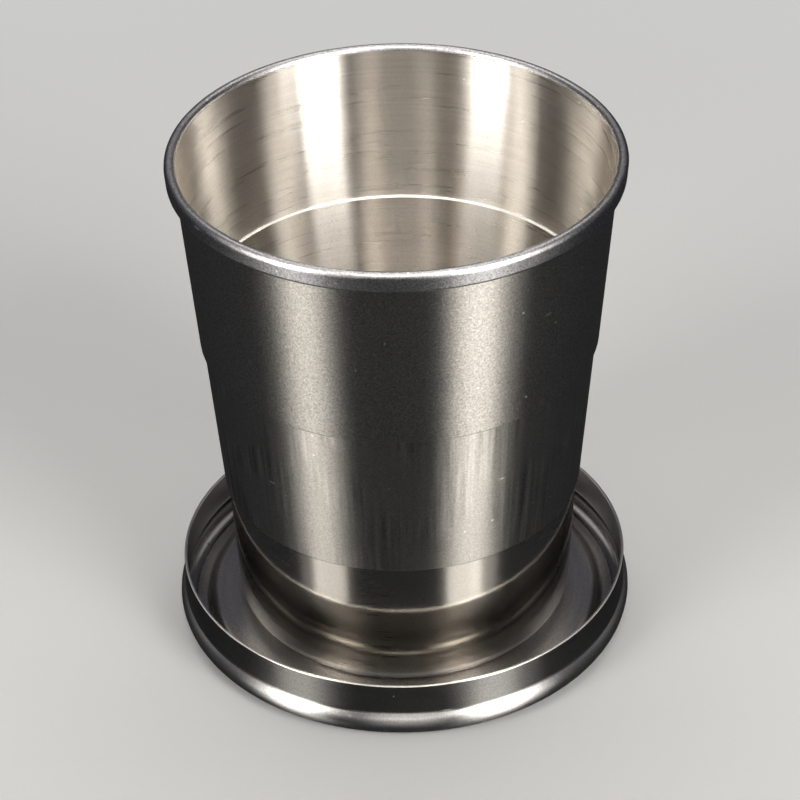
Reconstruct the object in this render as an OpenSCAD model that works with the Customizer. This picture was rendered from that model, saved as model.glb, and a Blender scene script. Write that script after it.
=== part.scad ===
// Collapsible travel cup of stainless steel sheet.
// A drawn bottom cup stands on a pressed base dish. Two open rings telescope up from it,
// and each wedges on the slight cone of the one inside it. All are drawn with the cup open.
// Origin: centre of the foot, on the table. +Z is up. Every piece is a body of revolution.

/* [Open cup] */
// Height of the open cup above the table
cup_height = 89.5; // [88:0.1:92]
// Diameter over the rolled rim
rim_d = 73.7; // [73:0.1:74.5]
// Lean of the wedging walls from upright, in degrees
wall_lean = 4.32; // [4.1:0.01:4.5]

/* [Sheet and fit] */
// Sheet thickness of the cup and its rings
sheet = 0.45; // [0.3:0.05:0.5]
// Gap between two wedged walls, square to the wall
seam_gap = 0.03; // [0.02:0.01:0.08]

/* [Telescoping rings] */
// Height of the rim ring's lower edge
rim_edge_z = 56.15; // [54:0.05:58]
// Height of the middle ring's lower edge
middle_edge_z = 28.45; // [27:0.05:30]
// Height of the middle ring's top edge, inside the rim ring
middle_top_z = 61.65; // [60:0.05:64]
// Height of the bottom cup's top edge, inside the middle ring
bottom_top_z = 35.5; // [34:0.1:38]

/* [Rolled rim] */
// Width of the outward roll
roll_w = 1.8; // [1.7:0.05:2]
// Height of the roll, from its lip to its top
roll_h = 3.3; // [2.8:0.1:3.6]
// Outer radius of the lip that tucks back under the roll
tuck_r = 0.6; // [0.55:0.05:0.8]
// Turn of that lip, in degrees
tuck_turn = 150; // [120:1:150]

/* [Bottom cup] */
// Lean of the wall below the part that wedges, in degrees
lower_lean = 2.7; // [2.4:0.1:4]
// Height where the two leans meet, just below the middle ring's lower edge
knee_z = 28; // [26.5:0.1:28.2]
// Outer radius of the rounded bottom corner
corner_r = 3.3; // [2:0.1:4]

/* [Base dish] */
// Sheet thickness of the dish
dish_sheet = 0.5; // [0.4:0.05:0.6]
// Height of the dish floor's upper face, which the cup stands on
floor_z = 2.2; // [2:0.05:2.4]
// Diameter of the upright collar
collar_d = 77; // [76.5:0.1:78]
// Height of the collar's top edge
collar_z = 10.65; // [9:0.05:12]
// Diameter over the bead below the collar
bead_d = 79; // [78.8:0.1:79.5]
// Outer radius of the bead
bead_r = 2.7; // [2.5:0.1:2.9]
// Radius of the hollow between the bead and the collar
neck_r = 0.8; // [0.6:0.1:1]
// Centre line radius of the two bends between the floor and the foot
step_r = 1.2; // [1:0.1:1.4]
// Width of the flat foot ring
foot_w = 1.6; // [1:0.1:2]

/* [Spot welds] */
// Number of weld nuggets between the cup and the dish
weld_count = 4; // [3:1:6]
// Diameter of a nugget
weld_d = 3.6; // [3:0.1:4]
// Diameter of the circle that the nuggets are on
weld_circle_d = 30; // [24:1:36]
// Depth of a nugget into each of the two sheets
weld_depth = 0.2; // [0.1:0.05:0.2]

/* [Hidden] */
$fn = 180;

// Layers count from the outside: the rim ring, the middle ring, the bottom cup.
rim_layer = 0;
middle_layer = 1;
bottom_layer = 2;

// The roll's upper bend, which the rim ring's wall runs into.
roll_r = roll_w / 2;
roll_centre_r = rim_d / 2 - roll_r;
roll_centre_z = cup_height - roll_r;
// Length of the roll's flat side, between its two bends.
roll_flat = roll_h - roll_r - tuck_r;

// Radius of a layer's outer face at height z.
function face_r(layer, z) =
    roll_centre_r
    - (roll_r - sheet) / cos(wall_lean)
    + (z - roll_centre_z) * tan(wall_lean)
    - layer * (sheet + seam_gap) / cos(wall_lean);

// The bottom cup's rounded corner, which its floor and its wall run into.
corner_z = floor_z + corner_r;
corner_centre_r = face_r(bottom_layer, knee_z)
    - (knee_z - corner_z) * tan(lower_lean)
    - corner_r / cos(lower_lean);
// How much further the wedging part of its wall leans than the lower part.
flare = wall_lean - lower_lean;

// The bead's bend, and the hollow bend above it, which is tangent to the bead and the collar.
bead_centre_r = bead_d / 2 - bead_r;
neck_centre_r = collar_d / 2 + neck_r;
neck_reach = bead_r + neck_r;
neck_angle = acos((neck_centre_r - bead_centre_r) / neck_reach);
neck_centre_z = bead_r + neck_reach * sin(neck_angle);

// The double bend from the floor down to the foot.
step_drop = floor_z - dish_sheet;
step_angle = acos(1 - step_drop / (2 * step_r));
foot_r = bead_centre_r - foot_w;
step_start_r = foot_r - 2 * step_r * sin(step_angle);

module wedge(reach, start, sweep) {
    steps = 8;
    polygon([
        [0, 0],
        for (i = [0 : steps]) reach * [cos(start + sweep * i / steps), sin(start + sweep * i / steps)]
    ]);
}

// A bent length of sheet in the half plane of a body of revolution.
module bend(centre_r, centre_z, outer_r, thickness, start, sweep) {
    translate([centre_r, centre_z]) intersection() {
        difference() {
            circle(r = outer_r);
            circle(r = outer_r - thickness);
        }
        wedge(2 * outer_r, start, sweep);
    }
}

// The frame of a leaning wall, with its own upright along the wall.
module leaning(r, z, lean = wall_lean) {
    translate([r, z]) rotate(-lean) children();
}

// Length along a wall from height low_z to height high_z, where low_z belongs to a point
// that is reach away from the wall's outer face, square to it.
function wall_length(low_z, high_z, reach = 0, lean = wall_lean) =
    (high_z - low_z) / cos(lean) + reach * tan(lean);

module weld_nuggets() {
    for (i = [0 : weld_count - 1]) {
        rotate(i * 360 / weld_count)
            translate([weld_circle_d / 2, 0, floor_z - weld_depth])
                cylinder(d = weld_d, h = 2 * weld_depth);
    }
}

module dish_profile() {
    // Raised floor
    translate([0, floor_z - dish_sheet]) square([step_start_r, dish_sheet]);
    // Double bend down to the foot
    bend(step_start_r, floor_z - dish_sheet / 2 - step_r, step_r + dish_sheet / 2,
        dish_sheet, 90 - step_angle, step_angle);
    bend(foot_r, dish_sheet / 2 + step_r, step_r + dish_sheet / 2,
        dish_sheet, 270 - step_angle, step_angle);
    // Flat foot ring
    translate([foot_r, 0]) square([foot_w, dish_sheet]);
    // Bead
    bend(bead_centre_r, bead_r, bead_r, dish_sheet, -90, 90 + neck_angle);
    // Hollow bend into the collar
    bend(neck_centre_r, neck_centre_z, neck_r + dish_sheet, dish_sheet, 180, neck_angle);
    // Collar
    translate([collar_d / 2 - dish_sheet, neck_centre_z])
        square([dish_sheet, collar_z - neck_centre_z]);
}

module base_dish() {
    color("darkgray") difference() {
        rotate_extrude() dish_profile();
        weld_nuggets();
    }
}

module bottom_profile() {
    knee = [corner_r, wall_length(corner_z, knee_z, corner_r, lower_lean)];
    top = knee + wall_length(knee_z, bottom_top_z) * [sin(flare), cos(flare)];
    translate([0, floor_z]) square([corner_centre_r, sheet]);
    leaning(corner_centre_r, corner_z, lower_lean) {
        bend(0, 0, corner_r, sheet, -90, 90);
        // Lower wall, and above its knee the wall that wedges
        polygon([
            [corner_r - sheet, 0],
            [corner_r, 0],
            knee,
            top,
            top - sheet * [cos(flare), -sin(flare)],
            knee - sheet * [1, -tan(flare / 2)]
        ]);
    }
}

module bottom_cup() {
    color("dimgray") difference() {
        rotate_extrude() bottom_profile();
        weld_nuggets();
    }
}

module middle_ring() {
    length = wall_length(middle_edge_z, middle_top_z);
    color("silver") rotate_extrude()
        leaning(face_r(middle_layer, middle_edge_z), middle_edge_z)
            translate([-sheet, 0]) square([sheet, length]);
}

module rim_profile() {
    length = wall_length(rim_edge_z, roll_centre_z, roll_r - sheet);
    leaning(roll_centre_r, roll_centre_z) {
        translate([-roll_r, -length]) square([sheet, length]);
        // Upper bend, over the top
        bend(0, 0, roll_r, sheet, 0, 180);
        // Flat side of the roll
        translate([roll_r - sheet, -roll_flat]) square([sheet, roll_flat]);
        // Lip, tucked back under the roll
        bend(roll_r - tuck_r, -roll_flat, tuck_r, sheet, -tuck_turn, tuck_turn);
    }
}

module rim_ring() {
    color("lightgray") rotate_extrude() rim_profile();
}

module spot_welds() {
    color("gray") weld_nuggets();
}

base_dish();
bottom_cup();
middle_ring();
rim_ring();
spot_welds();
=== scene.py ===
"""Looks of the collapsible travel cup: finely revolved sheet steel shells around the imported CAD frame."""
import math

import bpy
from mathutils import Matrix, Vector, noise


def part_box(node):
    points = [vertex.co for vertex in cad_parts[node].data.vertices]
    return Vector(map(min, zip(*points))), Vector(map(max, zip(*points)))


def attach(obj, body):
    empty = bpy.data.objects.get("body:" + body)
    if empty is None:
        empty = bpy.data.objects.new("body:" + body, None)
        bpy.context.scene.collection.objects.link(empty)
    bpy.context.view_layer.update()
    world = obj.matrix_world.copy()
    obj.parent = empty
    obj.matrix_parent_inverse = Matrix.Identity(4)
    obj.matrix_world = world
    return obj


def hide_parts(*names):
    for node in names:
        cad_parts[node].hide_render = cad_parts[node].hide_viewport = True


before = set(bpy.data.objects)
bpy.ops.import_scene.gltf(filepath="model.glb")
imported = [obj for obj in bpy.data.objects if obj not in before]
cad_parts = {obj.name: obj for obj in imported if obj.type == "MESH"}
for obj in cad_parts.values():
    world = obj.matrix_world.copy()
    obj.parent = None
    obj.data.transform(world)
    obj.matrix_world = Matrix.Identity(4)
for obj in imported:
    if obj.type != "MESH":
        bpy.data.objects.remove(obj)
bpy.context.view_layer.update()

MM = 0.001

# ------------------------------------------------------------------ shape, from the frame

SEGMENTS = 384          # faces round every shell
EDGE_DEPTH = 0.18 * MM  # how far a cut sheet edge is rounded
WALL_STEP = 2.0 * MM    # spacing of rings of points along a straight sheet
END_STEP = 0.06 * MM    # last step before a cut edge, which keeps the edge's shading off the wall
BEND_STEP = math.radians(9)
EDGE_POINTS = 7         # points round a cut edge

# Bends of the design that the frame's boxes don't hold.
ROLL_WIDTH = 1.8 * MM
ROLL_HEIGHT = 3.3 * MM
TUCK_RADIUS = 0.6 * MM
TUCK_TURN = math.radians(150)
CORNER_RADIUS = 3.3 * MM
KNEE_Z = 28.0 * MM      # where the bottom cup's wall starts to flare
KNEE_RADIUS = 10.0 * MM
LOWER_LEAN = math.radians(2.7)
BEAD_RADIUS = 2.7 * MM
NECK_RADIUS = 0.8 * MM
STEP_RADIUS = 1.2 * MM
FOOT_WIDTH = 1.6 * MM

# Small faults that real sheet has.
RING_BEVEL = 1.5             # slant of the middle ring's top edge, in edge depths
RING_EDGE_ROOM = 1.8         # room that the wall leaves for this edge, in edge depths
UNEVEN_CUT = 0.03 * MM       # how far a ring's lower edge is out of level
UNEVEN_REACH = 2.0 * MM      # how far up the wall that is felt
FAULT_REACH = 1.2 * MM       # how far below the roll's upper bend its waves and dents end
FAULT_FADE = 1.0 * MM        # length over which they fade out
# Dents of the roll: azimuth and half width in degrees, and depth in millimetres.
DENTS = [(-17, 2.2, 0.10), (-9, 1.4, 0.06), (-101, 1.2, 0.03), (196, 1.8, 0.05), (64, 2.0, 0.04)]


def cad_outline(node):
    """The (radius, height) corners of a CAD body of revolution, lowest first."""
    points = [v.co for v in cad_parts[node].data.vertices]
    corners = {(round(point.xy.length, 6), round(point.z, 6)) for point in points}
    return sorted(corners, key=lambda corner: corner[1])


def top_z(node):
    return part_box(node)[1].z


def low_z(node):
    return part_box(node)[0].z


def half_width(node):
    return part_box(node)[1].x


def end_corners(node, height):
    """The outer and the inner (radius, height) corner of a sheet's cut edge near this height."""
    near = [corner for corner in cad_outline(node) if abs(corner[1] - height) < 0.1 * MM]
    return max(near), min(near)


RING_FOOT, ring_foot_inside = end_corners("middle_ring", low_z("middle_ring"))
RING_TOP, _ = end_corners("middle_ring", top_z("middle_ring"))
SHEET = math.dist(RING_FOOT, ring_foot_inside)
LEAN = math.atan2(RING_TOP[0] - RING_FOOT[0], RING_TOP[1] - RING_FOOT[1])
RIM_FOOT = cad_outline("rim_ring")[0]            # its outer corner, which is the lowest
ROLL_Z = top_z("rim_ring") - ROLL_WIDTH / 2      # centre of the roll's upper bend
collar_outside, collar_inside = end_corners("base_dish", top_z("base_dish"))
COLLAR_RADIUS = collar_outside[0]
DISH_SHEET = COLLAR_RADIUS - collar_inside[0]


class SheetPath:
    """The centre line of a bent sheet in the half plane of (radius, height), drawn like a turtle."""

    def __init__(self, r, z, heading, tag):
        self.r, self.z, self.heading, self.tag = r, z, heading, tag
        self.points = [(r, z, heading, tag)]

    def straight(self, length, step=WALL_STEP):
        middle = length - 2 * END_STEP
        count = max(1, round(middle / step))
        for part in [END_STEP] + [middle / count] * count + [END_STEP]:
            self.r += part * math.cos(self.heading)
            self.z += part * math.sin(self.heading)
            self.points.append((self.r, self.z, self.heading, self.tag))
        return self

    def bend(self, radius, turn):
        """Turns by an angle, to the left if it is positive, on a centre line of this radius."""
        count = max(2, math.ceil(abs(turn) / BEND_STEP))
        side = math.copysign(1, turn)
        centre_r = self.r - side * radius * math.sin(self.heading)
        centre_z = self.z + side * radius * math.cos(self.heading)
        for _ in range(count):
            self.heading += turn / count
            self.r = centre_r + side * radius * math.sin(self.heading)
            self.z = centre_z - side * radius * math.cos(self.heading)
            self.points.append((self.r, self.z, self.heading, self.tag))
        return self

    def use(self, tag):
        """Names the stretch that follows."""
        self.tag = tag
        return self


def rounded_end(point, heading, half, tag, bevel=0.0):
    """Points round a cut edge, from the right-hand face to the left-hand face of the sheet.

    With a bevel, the edge reaches further on the right and falls to the left.
    """
    r, z = point
    arc = []
    for i in range(1, EDGE_POINTS + 1):
        a = math.pi * (i / (EDGE_POINTS + 1) - 0.5)
        across = half * math.sin(a)
        ahead = EDGE_DEPTH * math.cos(a) * (1 - bevel * math.sin(a))
        arc.append((r + ahead * math.cos(heading) - across * math.sin(heading),
                    z + ahead * math.sin(heading) + across * math.cos(heading), tag))
    return arc


def sheet_outline(path, thickness, bevel=0.0):
    """The closed outline of the sheet, as (radius, height, tag).

    A point's tag names the face that follows it.
    """
    half = thickness / 2

    def side(offset, name):
        return [(r + offset * math.sin(h), z - offset * math.cos(h), tag + name)
                for r, z, h, tag in path.points]

    r, z, h, _ = path.points[-1]
    outline = side(half, "_right") + rounded_end((r, z), h, half, "edge", bevel)
    outline += side(-half, "_left")[::-1]
    r, z, h, _ = path.points[0]
    if r > 1e-6:
        outline += rounded_end((r, z), h + math.pi, half, "foot")
    return outline


def revolve(name, outline, finishes, shape):
    """A closed mesh turned from the outline.

    finishes maps a tag to a material, and shape gives each point its place.
    """
    slots = list(dict.fromkeys(finishes.values()))
    on_axis = outline[0][0] < 1e-6
    verts, faces, materials = [], [], []

    def ring_of(index):
        r, z, tag = outline[index]
        if r < 1e-6:
            verts.append(Vector((0, 0, z)))
            return [len(verts) - 1] * SEGMENTS
        start = len(verts)
        for i in range(SEGMENTS):
            verts.append(shape(2 * math.pi * i / SEGMENTS, r, z, tag))
        return list(range(start, start + SEGMENTS))

    rings = [ring_of(i) for i in range(len(outline))]
    spans = len(rings) - 1 if on_axis else len(rings)
    for k in range(spans):
        low, high = rings[k], rings[(k + 1) % len(rings)]
        slot = slots.index(finishes[outline[k][2]])
        for i in range(SEGMENTS):
            j = (i + 1) % SEGMENTS
            corners = list(dict.fromkeys((low[i], low[j], high[j], high[i])))
            faces.append(corners)
            materials.append(slot)
    mesh = bpy.data.meshes.new(name)
    mesh.from_pydata(verts, [], faces)
    for material in slots:
        mesh.materials.append(material)
    mesh.polygons.foreach_set("material_index", materials)
    mesh.polygons.foreach_set("use_smooth", [True] * len(faces))
    mesh.update()
    piece = bpy.data.objects.new(name, mesh)
    bpy.context.scene.collection.objects.link(piece)
    return piece


def at(angle, r, z):
    return Vector((r * math.cos(angle), r * math.sin(angle), z))


def wander(angle, turns, seed):
    """A smooth value from about -1 to 1 that varies round the axis and closes on itself."""
    return noise.noise(Vector((turns * math.cos(angle), turns * math.sin(angle), seed)))


# ------------------------------------------------------------------ materials

SPOT_RAGGED = 0.4 * MM      # how far the outline of a spot strays
THOUSANDTH = 0.001 * MM


class Nodes:
    """Short calls for building a node tree."""

    def __init__(self, tree):
        self.tree = tree

    def add(self, kind, inputs=None, **settings):
        node = self.tree.nodes.new("ShaderNode" + kind)
        for key, value in settings.items():
            setattr(node, key, value)
        for key, value in (inputs or {}).items():
            self.feed(node.inputs[key], value)
        return node

    def feed(self, socket, value):
        if isinstance(value, bpy.types.NodeSocket):
            self.tree.links.new(value, socket)
        else:
            socket.default_value = value

    def math(self, operation, *values):
        node = self.add("Math", operation=operation)
        for socket, value in zip(node.inputs, values):
            self.feed(socket, value)
        return node.outputs[0]

    def scaled(self, value, low, high):
        """Moves a value from 0..1 to low..high."""
        return self.math("MULTIPLY_ADD", value, high - low, low)

    def step(self, value, start, end):
        """0 below start, 1 above end, smooth between them."""
        node = self.add("MapRange", {"Value": value, "From Min": start, "From Max": end},
                        interpolation_type="SMOOTHSTEP")
        return node.outputs["Result"]

    def vector(self, x, y, z):
        return self.add("CombineXYZ", {"X": x, "Y": y, "Z": z}).outputs[0]

    def total(self, *values):
        result = values[0]
        for value in values[1:]:
            result = self.math("ADD", result, value)
        return result

    def centred(self, value, reach):
        """Moves a value from 0..1 to -reach..reach."""
        return self.scaled(value, -reach, reach)

    def noise(self, vector, scale, detail=2.0, roughness=0.5):
        node = self.add("TexNoise", {"Vector": vector, "Scale": scale, "Detail": detail,
                                     "Roughness": roughness})
        return node.outputs["Fac"]

    def multiplied(self, vector, factor):
        return self.add("VectorMath", {0: vector, 3: factor}, operation="SCALE").outputs[0]

    def blend(self, share, first, second):
        node = self.add("Mix", data_type="RGBA")
        self.feed(node.inputs["Factor"], share)
        self.feed(node.inputs[6], first)
        self.feed(node.inputs[7], second)
        return node.outputs[2]


class TurnedSpace:
    """Coordinates on a body of revolution: round the axis, and along its outline."""

    def __init__(self, nodes):
        self.nodes = nodes
        self.point = nodes.add("TexCoord").outputs["Object"]
        parts = nodes.add("SeparateXYZ", {"Vector": self.point})
        x, y, z = parts.outputs
        self.radius = nodes.math("MAXIMUM", nodes.math("SQRT", nodes.math(
            "ADD", nodes.math("MULTIPLY", x, x), nodes.math("MULTIPLY", y, y))), 1e-5)
        self.cosine = nodes.math("DIVIDE", x, self.radius)
        self.sine = nodes.math("DIVIDE", y, self.radius)
        self.along = nodes.math("ADD", z, self.radius)

    def stretched(self, around, along):
        """A point for a noise that changes `around` times over a radian and `along` times over a metre."""
        n = self.nodes
        return n.vector(n.math("MULTIPLY", self.cosine, around), n.math("MULTIPLY", self.sine, around),
                        n.math("MULTIPLY", self.along, along))


def scattered(n, vector, size, share):
    """Dots in a random share of a cell pattern's cells: a mask, and a random number for each cell."""
    cells = n.add("TexVoronoi", {"Vector": vector, "Scale": 1.0})
    chance = n.add("SeparateColor", {"Color": cells.outputs["Color"]})
    dots = n.step(cells.outputs["Distance"], size, 0.6 * size)
    return n.math("MULTIPLY", dots, n.math("LESS_THAN", chance.outputs[0], share)), chance.outputs[1]


class Wear:
    """The patterns that working and use leave on a turned sheet."""

    def __init__(self, n, specks):
        space = TurnedSpace(n)
        self.fine_lines = n.noise(space.stretched(1.6, 2300), 1.0, 2.0, 0.6)
        self.broad_lines = n.noise(space.stretched(2.2, 750), 1.0, 2.0, 0.65)
        self.tooth = n.noise(space.point, 3300, 1.0, 0.6)
        self.clouds = n.noise(space.point, 45, 2.0, 0.55)

        # Streaks along the outline, in some places only
        drawn = n.noise(space.stretched(30, 42), 1.0, 2.0, 0.6)
        where = n.step(n.noise(space.stretched(3.1, 70), 1.0, 1.0), 0.42, 0.56)
        self.streaks = n.math("MULTIPLY", n.math("SUBTRACT", drawn, 0.5), n.scaled(where, 0.1, 1.0))

        # Ragged spots, half of them light and half dark
        ragged = n.add("TexNoise", {"Vector": space.point, "Scale": 2500.0, "Detail": 1.0}).outputs["Color"]
        shift = {0: ragged, 1: (SPOT_RAGGED,) * 3, 2: space.point}
        ragged_point = n.add("VectorMath", shift, operation="MULTIPLY_ADD").outputs[0]
        self.spot, kind = scattered(n, n.multiplied(ragged_point, 420.0), 0.11, 0.4 * specks)
        light = n.math("SUBTRACT", n.math("GREATER_THAN", kind, 0.5), 0.5)
        self.spot_tone = n.math("MULTIPLY", self.spot, light)
        self.scratch, _ = scattered(n, space.stretched(6, 1500), 0.2, 0.06 * specks)


def steel_relief(n, wear, brush, turn_marks, draw, grain):
    """Bumps of the worked surface, in thousandths of a millimetre."""
    raised = n.total(
        n.scaled(wear.fine_lines, 0, 8.0 * brush),
        n.scaled(wear.broad_lines, 0, 14.0 * turn_marks),
        n.math("MULTIPLY", wear.streaks, 10.0 * draw),
        n.scaled(wear.tooth, 0, 3.0 * grain))
    pitted = n.math("SUBTRACT", raised, n.math("MULTIPLY", wear.spot, 8.0))
    return n.math("SUBTRACT", pitted, n.math("MULTIPLY", wear.scratch, 2.0))


def steel_tone(n, wear, brush, turn_marks, draw, grain):
    """How much lighter or darker than its tint the steel is from place to place."""
    return n.total(
        n.scaled(wear.clouds, 0.95, 1.05),
        n.centred(wear.broad_lines, 0.18 * turn_marks),
        n.centred(wear.fine_lines, 0.22 * brush),
        n.math("MULTIPLY", wear.streaks, 1.6 * draw),
        n.centred(wear.tooth, 0.42 * grain),
        n.math("MULTIPLY", wear.spot_tone, 0.6))


def steel(name, tint, satin, polish, brush=0.0, turn_marks=0.0, draw=0.0, grain=0.0, specks=0.0):
    """Worked stainless steel.

    satin is how far the worked surface spreads light round the axis and along the outline, as slopes, and
    polish the share and the roughness of what mirrors more plainly. brush is fine lines round the axis,
    turn_marks broad uneven ones, draw streaks along the outline, grain a satin tooth, and specks small
    pits, spots and scratches.
    """
    round_slope, along_slope = satin
    polish_share, polish_roughness = polish
    material = bpy.data.materials.new(name)
    material.use_nodes = True
    tree = material.node_tree
    tree.nodes.clear()
    n = Nodes(tree)
    wear = Wear(n, specks)
    colour = n.multiplied(tint, steel_tone(n, wear, brush, turn_marks, draw, grain))
    relief = steel_relief(n, wear, brush, turn_marks, draw, grain)
    height = n.math("MULTIPLY", relief, THOUSANDTH)
    bump = n.add("Bump", {"Height": height, "Distance": 1.0, "Strength": 1.0})
    uneven = n.total(
        n.scaled(wear.clouds, 0.92, 1.08),
        n.math("MULTIPLY", wear.streaks, 0.3 * draw),
        n.math("MULTIPLY", n.math("ADD", wear.spot, wear.scratch), 0.6))

    polished = n.add("BsdfPrincipled", {
        "Base Color": colour, "Metallic": 1.0, "Normal": bump.outputs[0],
        "Roughness": n.math("MULTIPLY", uneven, polish_roughness),
    })
    # Each turned line spreads light round the axis by its own amount, which frays the edges of highlights.
    lines = n.math("ADD", n.centred(wear.fine_lines, 1.2 * brush), n.centred(wear.broad_lines, turn_marks))
    spread = n.math("MULTIPLY", n.math("POWER", 5.0, lines), round_slope / along_slope)
    root = n.math("SQRT", spread)
    roughness = n.math("MULTIPLY", uneven, math.sqrt(along_slope))
    brushed = n.add("BsdfAnisotropic", {
        "Color": colour, "Normal": bump.outputs[0],
        "Roughness": n.math("MULTIPLY", roughness, n.math("SQRT", root)),
        "Anisotropy": n.math("SUBTRACT", 1.0, root),
        "Tangent": n.add("Tangent", direction_type="RADIAL", axis="Z").outputs[0],
    }, distribution="BECKMANN")
    shader = n.add("MixShader", {0: polish_share, 1: brushed.outputs[0], 2: polished.outputs[0]})
    output = n.add("OutputMaterial")
    tree.links.new(shader.outputs[0], output.inputs["Surface"])
    return material


RING_STEEL = (0.66, 0.63, 0.58)
INNER_STEEL = (0.81, 0.775, 0.73)

# Outside of the rings and of the bottom cup
RIM_OUTSIDE = steel("rim_outside", RING_STEEL, (0.065, 0.17), (0.2, 0.25),
                    brush=0.2, grain=1.6, specks=0.7)
RING_OUTSIDE = steel("ring_outside", RING_STEEL, (0.065, 0.17), (0.2, 0.25),
                     brush=0.15, draw=1.0, grain=1.0, specks=0.8)
CUP_OUTSIDE = steel("cup_outside", (0.61, 0.575, 0.52), (0.05, 0.12), (0.72, 0.085),
                    brush=0.05, grain=0.5, specks=0.1)

# Inside, turned to a fine brush
RIM_INSIDE = steel("rim_inside", INNER_STEEL, (0.02, 0.42), (0.05, 0.25),
                   brush=0.65, turn_marks=0.6, grain=0.3, specks=0.1)
INSIDE = steel("inside", INNER_STEEL, (0.02, 0.42), (0.05, 0.25),
               brush=0.5, turn_marks=0.5, grain=0.4, specks=0.1)

# Roll and cut edges
HEM = steel("hem", (0.60, 0.59, 0.60), (0.2, 0.3), (0.4, 0.2), brush=0.2, grain=2.2, specks=2.5)
# Cut edges are rounded in the geometry and catch light there. Their tint, much lighter than the sheet's
# steel, adds a painted highlight to that thin line.
CUT_EDGE_HIGHLIGHT = steel("cut_edge_highlight", (0.92, 0.90, 0.87), (0.3, 0.35), (0.4, 0.2),
                 brush=0.1, grain=0.6, specks=0.2)
# The middle ring's top edge: a still lighter, rougher tint, a painted highlight that makes its thin line
# show white all round.
RING_EDGE_HIGHLIGHT = steel("ring_edge_highlight", (0.96, 0.95, 0.93), (0.5, 0.55), (0.3, 0.3),
                  brush=0.1, grain=0.5, specks=0.2)
FOOT_EDGE = steel("foot_edge", (0.50, 0.47, 0.43), (0.2, 0.3), (0.3, 0.3), grain=1.0, specks=1.0)

# Base dish
DISH = steel("dish_turned", (0.56, 0.55, 0.54), (0.08, 0.35), (0.3, 0.3),
             brush=0.4, turn_marks=0.3, grain=0.8, specks=0.5)
# The collar's outer face: the dish's steel with its tint darkened, painted shade for the shadowed
# surroundings close to the dish that it mirrors.
SHADED_COLLAR_STEEL = steel("collar", (0.31, 0.302, 0.29), (0.06, 0.25), (0.35, 0.3),
               brush=0.5, turn_marks=0.3, grain=0.8, specks=0.5)
# The collar's inner wall and the hollow of the bead: the dish's steel darkened further, painted shade in
# these recesses.
SHADED_COLLAR_INSIDE_STEEL = steel("collar_inside", (0.30, 0.295, 0.29), (0.04, 0.1), (0.1, 0.15),
                      brush=0.3, turn_marks=0.2, grain=0.6, specks=0.4)
DISH_INSIDE = steel("dish_inside", (0.64, 0.62, 0.62), (0.06, 0.2), (0.3, 0.45),
                    brush=0.5, turn_marks=0.7, grain=0.8, specks=0.5)
DISH_UNDER = steel("dish_under", (0.60, 0.59, 0.57), (0.08, 0.4), (0.3, 0.3),
                   brush=0.5, turn_marks=0.8, grain=0.5, specks=0.5)
WELD = steel("weld", (0.46, 0.45, 0.43), (0.3, 0.3), (0.3, 0.4), grain=1.0, specks=1.0)

# ------------------------------------------------------------------ pieces


def plain_shape(angle, r, z, tag):
    return at(angle, r, z)


def uneven_cut(angle, z, foot, seed):
    """How far a point is off its height, because the lower edge is cut out of level."""
    near_foot = max(0.0, 1 - (z - foot) / UNEVEN_REACH)
    return UNEVEN_CUT * near_foot * wander(angle, 3, seed)


def middle_ring_shape(angle, r, z, tag):
    return at(angle, r, z + uneven_cut(angle, z, RING_FOOT[1], 3.7))


def rim_ring_shape(angle, r, z, tag):
    """Adds the roll's waves and dents, in millimetres, and the unevenly cut lower edge."""
    in_roll = 0.0
    if tag.startswith("hem") or tag == "edge":
        in_roll = min(1.0, max(0.0, (z - ROLL_Z + FAULT_REACH) / FAULT_FADE))
    push = 0.018 * wander(angle, 7, 1.3) + 0.008 * wander(angle, 30, 4.1)
    lift = 0.022 * wander(angle, 5, 8.2) + 0.006 * wander(angle, 26, 2.7)
    for azimuth, width, depth in DENTS:
        off = (math.degrees(angle) - azimuth + 180) % 360 - 180
        push -= depth * math.exp(-(off / width) ** 2)
    height = z + lift * MM * in_roll + uneven_cut(angle, z, RIM_FOOT[1], 5.5)
    return at(angle, r + push * MM * in_roll, height)


def wall_path(foot, tag):
    """Starts a leaning wall from the outer corner of its lower edge."""
    half = SHEET / 2
    up = math.pi / 2 - LEAN
    r = foot[0] - half * math.cos(LEAN) + EDGE_DEPTH * math.cos(up)
    z = foot[1] + half * math.sin(LEAN) + EDGE_DEPTH * math.sin(up)
    return SheetPath(r, z, up, tag)


def build_rim_ring():
    half = SHEET / 2
    roll = ROLL_WIDTH / 2
    wall = (ROLL_Z - RIM_FOOT[1]) / math.cos(LEAN) + (roll - SHEET) * math.tan(LEAN)
    path = wall_path(RIM_FOOT, "wall")
    path.straight(wall - EDGE_DEPTH)
    path.use("hem").bend(roll - half, -math.pi)
    path.straight(ROLL_HEIGHT - roll - TUCK_RADIUS, 0.3 * MM)
    path.bend(TUCK_RADIUS - half, -TUCK_TURN)
    finishes = {"wall_right": RIM_OUTSIDE, "wall_left": RIM_INSIDE, "hem_right": HEM, "hem_left": HEM,
                "edge": CUT_EDGE_HIGHLIGHT, "foot": FOOT_EDGE}
    piece = revolve("rim_ring_shell", sheet_outline(path, SHEET), finishes, rim_ring_shape)
    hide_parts("rim_ring")
    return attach(piece, "rim")


def build_middle_ring():
    path = wall_path(RING_FOOT, "wall")
    path.straight(math.dist(RING_FOOT, RING_TOP) - (1 + RING_EDGE_ROOM) * EDGE_DEPTH)
    finishes = {"wall_right": RING_OUTSIDE, "wall_left": INSIDE, "edge": RING_EDGE_HIGHLIGHT, "foot": FOOT_EDGE}
    outline = sheet_outline(path, SHEET, RING_BEVEL)
    piece = revolve("middle_ring_shell", outline, finishes, middle_ring_shape)
    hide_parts("middle_ring")
    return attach(piece, "middle")


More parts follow.
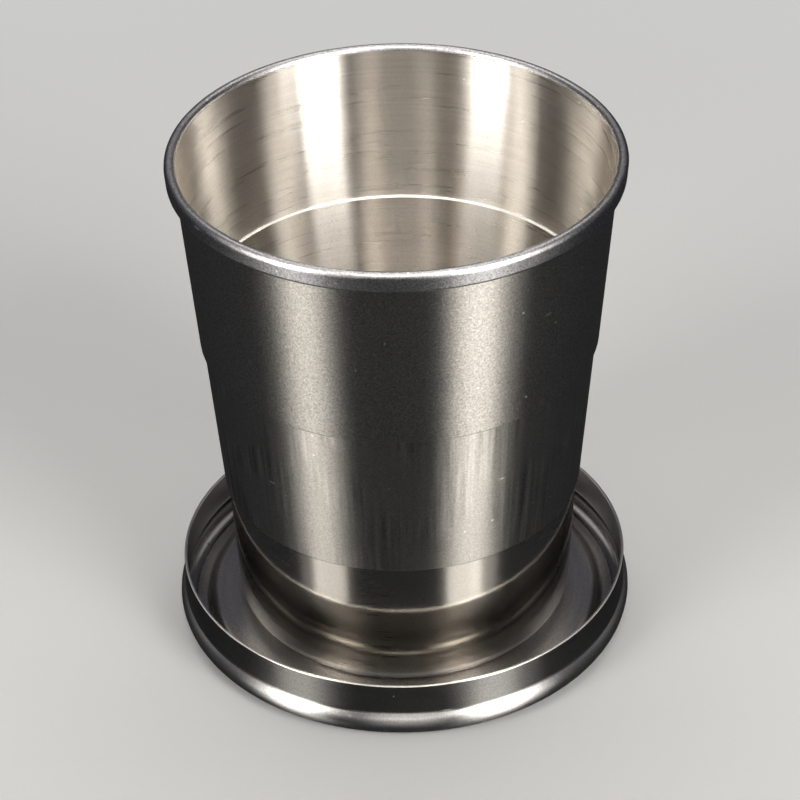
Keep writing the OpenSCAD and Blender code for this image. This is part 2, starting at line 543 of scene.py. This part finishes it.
def build_bottom_cup():
    half = SHEET / 2
    floor = low_z("bottom_cup")
    # The outer face is followed down the cup's two cones, from its top edge to the rounded corner.
    outer_top, _ = end_corners("bottom_cup", top_z("bottom_cup"))
    corner_z = floor + CORNER_RADIUS
    knee_r = outer_top[0] - (outer_top[1] - KNEE_Z) * math.tan(LEAN)
    corner_face = knee_r - (KNEE_Z - corner_z) * math.tan(LOWER_LEAN)
    centre_r = corner_face - CORNER_RADIUS / math.cos(LOWER_LEAN)
    flare = LEAN - LOWER_LEAN
    knee_tangent = KNEE_RADIUS * math.tan(flare / 2)
    path = SheetPath(0, floor + half, 0, "floor")
    path.straight(centre_r, 0.5 * MM)
    path.use("wall").bend(CORNER_RADIUS - half, math.pi / 2 - LOWER_LEAN)
    lower_wall = (KNEE_Z - corner_z) / math.cos(LOWER_LEAN) + CORNER_RADIUS * math.tan(LOWER_LEAN)
    path.straight(lower_wall - knee_tangent).bend(KNEE_RADIUS, -flare)
    path.straight((outer_top[1] - KNEE_Z) / math.cos(LEAN) - knee_tangent - EDGE_DEPTH)
    finishes = {"floor_right": CUP_OUTSIDE, "floor_left": INSIDE, "wall_right": CUP_OUTSIDE,
                "wall_left": INSIDE, "edge": CUT_EDGE_HIGHLIGHT}
    piece = revolve("bottom_cup_shell", sheet_outline(path, SHEET), finishes, plain_shape)
    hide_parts("bottom_cup")
    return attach(piece, "base")


def build_base_dish():
    half = DISH_SHEET / 2
    floor = low_z("bottom_cup")
    bead_centre_r = half_width("base_dish") - BEAD_RADIUS
    neck_centre_r = COLLAR_RADIUS + NECK_RADIUS
    neck_reach = BEAD_RADIUS + NECK_RADIUS
    neck_angle = math.acos((neck_centre_r - bead_centre_r) / neck_reach)
    neck_z = BEAD_RADIUS + neck_reach * math.sin(neck_angle)
    step_angle = math.acos(1 - (floor - DISH_SHEET) / (2 * STEP_RADIUS))
    foot_r = bead_centre_r - FOOT_WIDTH
    step_start = foot_r - 2 * STEP_RADIUS * math.sin(step_angle)
    path = SheetPath(0, floor - half, 0, "under")
    path.straight(step_start, 0.5 * MM)
    path.bend(STEP_RADIUS, -step_angle).bend(STEP_RADIUS, step_angle)
    path.straight(FOOT_WIDTH)
    path.use("rim").bend(BEAD_RADIUS - half, math.pi / 2 + neck_angle)
    path.use("collar").bend(NECK_RADIUS + half, -neck_angle)
    path.straight(top_z("base_dish") - neck_z - EDGE_DEPTH)
    finishes = {"under_right": DISH_UNDER, "under_left": DISH_INSIDE, "rim_right": DISH,
                "rim_left": SHADED_COLLAR_INSIDE_STEEL, "collar_right": SHADED_COLLAR_STEEL, "collar_left": SHADED_COLLAR_INSIDE_STEEL,
                "edge": CUT_EDGE_HIGHLIGHT}
    piece = revolve("base_dish_shell", sheet_outline(path, DISH_SHEET), finishes, plain_shape)
    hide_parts("base_dish")
    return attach(piece, "base")


build_rim_ring()
build_middle_ring()
build_bottom_cup()
build_base_dish()
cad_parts["spot_welds"].data.materials.clear()
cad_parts["spot_welds"].data.materials.append(WELD)

# ------------------------------------------------------------------ stage

PALE = (0.74, 0.75, 0.76)
PALE_GLOW = 0.85
DARK_ROOM = (0.010, 0.011, 0.013)
CEILING = (0.08, 0.08, 0.09)
FLOOR_ALBEDO = 0.55         # low, because the lamps are bright: the floor still comes out pale
FLOOR_FADE = (0.10, 0.40)   # distances over which the floor turns into the even backdrop
LAMP_COLOUR = (1.0, 0.97, 0.92)
CUP_MIDDLE = Vector((0, 0, 50 * MM))


def opaque(colour, factor=1.0):
    """A colour socket's value, lightened or darkened by a factor."""
    return (*[factor * part for part in colour], 1)


def build_floor():
    """A pale floor for the eye. In the steel it shows as a dark, slightly glossy table."""
    below = (0, 0, -0.02 * MM)
    bpy.ops.mesh.primitive_circle_add(vertices=96, radius=12.0, fill_type="NGON", location=below)
    floor = bpy.context.object
    floor.name = "floor"
    material = bpy.data.materials.new("floor")
    material.use_nodes = True
    material.node_tree.nodes.clear()
    n = Nodes(material.node_tree)
    point = n.add("TexCoord").outputs["Object"]
    mottle = n.noise(point, 900, 3.0, 0.6)
    pale = n.blend(mottle, opaque(PALE, 0.97 * FLOOR_ALBEDO), opaque(PALE, FLOOR_ALBEDO))
    near = n.add("BsdfDiffuse", {"Color": pale})
    distance = n.add("VectorMath", {0: point}, operation="LENGTH").outputs["Value"]
    backdrop = n.add("Emission", {"Color": opaque(PALE), "Strength": PALE_GLOW})
    eye = n.add("MixShader", {0: n.step(distance, *FLOOR_FADE), 1: near.outputs[0], 2: backdrop.outputs[0]})
    table = n.add("BsdfPrincipled", {"Base Color": opaque(DARK_ROOM), "Roughness": 0.15, "IOR": 2.0})
    path = n.add("LightPath")
    both = n.add("MixShader", {0: path.outputs["Is Camera Ray"], 1: table.outputs[0], 2: eye.outputs[0]})
    output = n.add("OutputMaterial")
    material.node_tree.links.new(both.outputs[0], output.inputs["Surface"])
    floor.data.materials.append(material)


def build_world():
    """A pale backdrop for the eye, and a dark room with a dim ceiling for the steel."""
    world = bpy.data.worlds.new("studio")
    bpy.context.scene.world = world
    world.use_nodes = True
    world.node_tree.nodes.clear()
    n = Nodes(world.node_tree)
    path = n.add("LightPath")
    height = n.add("SeparateXYZ", {"Vector": n.add("TexCoord").outputs["Generated"]}).outputs[2]
    glow = n.blend(n.step(height, 0.0, 0.25), opaque(DARK_ROOM), opaque(CEILING))
    room = n.add("Background", {"Color": glow, "Strength": 1.0})
    pale = n.add("Background", {"Color": opaque(PALE), "Strength": PALE_GLOW})
    both = n.add("MixShader", {0: path.outputs["Is Camera Ray"], 1: room.outputs[0], 2: pale.outputs[0]})
    output = n.add("OutputWorld")
    world.node_tree.links.new(both.outputs[0], output.inputs["Surface"])


def softbox(name, azimuth, elevation, distance, width, height, radiance):
    """An area light aimed at the cup, which the camera doesn't see.

    Azimuth 0 is the camera's side, and it grows to the right.
    """
    a, e = math.radians(azimuth), math.radians(elevation)
    away = Vector((math.sin(a) * math.cos(e), -math.cos(a) * math.cos(e), math.sin(e)))
    light = bpy.data.lights.new(name, "AREA")
    light.shape = "RECTANGLE"
    light.size, light.size_y = width, height
    light.energy = radiance * width * height * math.pi
    light.color = LAMP_COLOUR
    lamp = bpy.data.objects.new(name, light)
    lamp.location = CUP_MIDDLE + distance * away
    lamp.rotation_euler = (-away).to_track_quat("-Z", "Y").to_euler()
    lamp.visible_camera = False
    bpy.context.scene.collection.objects.link(lamp)
    return lamp


def only_for(lamp, names):
    """Keeps a lamp's light to some pieces, as a studio's flags and snoots do."""
    lit = bpy.data.collections.new(lamp.name + "_lit")
    for name in names:
        lit.objects.link(bpy.data.objects[name])
    lamp.light_linking.receiver_collection = lit
    return lamp


def build_camera():
    """The photographer's place: 36 cm in front, 30 cm up, looking 35 degrees down through a long lens."""
    camera = bpy.data.objects.new("camera", bpy.data.cameras.new("camera"))
    camera.data.sensor_width = 36
    camera.data.lens = 118.4
    camera.data.shift_x = -0.00125
    camera.data.clip_start = 0.01
    place = Matrix.Translation((0, -362.9 * MM, 298.3 * MM))
    pitch = Matrix.Rotation(math.radians(90 - 35.34), 4, "X")
    roll = Matrix.Rotation(math.radians(-1.15), 4, "Z")
    camera.matrix_world = place @ pitch @ roll
    bpy.context.scene.collection.objects.link(camera)
    bpy.context.scene.camera = camera


RINGS = ["rim_ring_shell", "middle_ring_shell"]
DISH_ONLY = ["base_dish_shell"]
BASE = ["base_dish_shell", "bottom_cup_shell"]
build_floor()
build_world()
# Two tall lamps make the bands on the cup, each with a dimmer outer edge.
softbox("left_softbox", -51.5, 23, 0.8, 0.27, 0.78, 8.4)
softbox("left_flank", -65, 23, 0.8, 0.20, 0.78, 1.3)
softbox("right_softbox", 41, 23, 0.8, 0.28, 0.78, 10.5)
softbox("right_flank", 55, 23, 0.8, 0.22, 0.78, 3.0)
# Cards and snoots for single pieces, and the floor's own light
only_for(softbox("front_card", 0, 18, 0.8, 0.40, 0.30, 2.6), DISH_ONLY)
only_for(softbox("inside_softbox", 0, 68, 0.9, 0.5, 0.5, 4.5), RINGS)
only_for(softbox("rim_softbox", 180, 62, 0.9, 0.8, 0.5, 1.5), RINGS)
only_for(softbox("dish_left_softbox", -122, 33, 0.8, 0.4, 0.4, 0.9), BASE)
only_for(softbox("dish_right_softbox", 122, 33, 0.8, 0.4, 0.4, 0.6), BASE)
overhead = only_for(softbox("floor_softbox", 180, 65, 1.3, 1.4, 1.2, 3.5), ["floor"])
overhead.visible_glossy = False
build_camera()
bpy.context.scene.view_settings.view_transform = "Standard"
